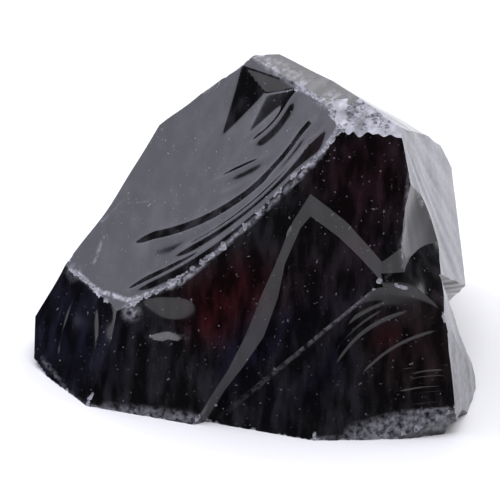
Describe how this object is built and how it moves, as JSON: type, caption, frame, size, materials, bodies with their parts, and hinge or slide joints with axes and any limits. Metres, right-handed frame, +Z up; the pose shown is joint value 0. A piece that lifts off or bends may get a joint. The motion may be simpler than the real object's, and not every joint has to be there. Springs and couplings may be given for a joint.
{
  "type": "obsidian chunk",
  "caption": "Broken lump of black volcanic glass with a rippled hollow scar, sharp chipped edges and a flat break it rests on.",
  "frame": {"origin": "centre of the bounding box in plan, on the flat break the lump rests on", "axes": "+Z up, -Y towards the viewer of the dark front face, +X to the right along the lump's longest side"},
  "size_m": [0.0522, 0.0398, 0.0356],
  "materials": {
    "obsidian": "glossy black volcanic glass, opaque at this thickness, pale and frosted where the edges are chipped"
  },
  "bodies": {
    "root": {"obsidian_chunk": "obsidian"}
  },
  "joints": []
}
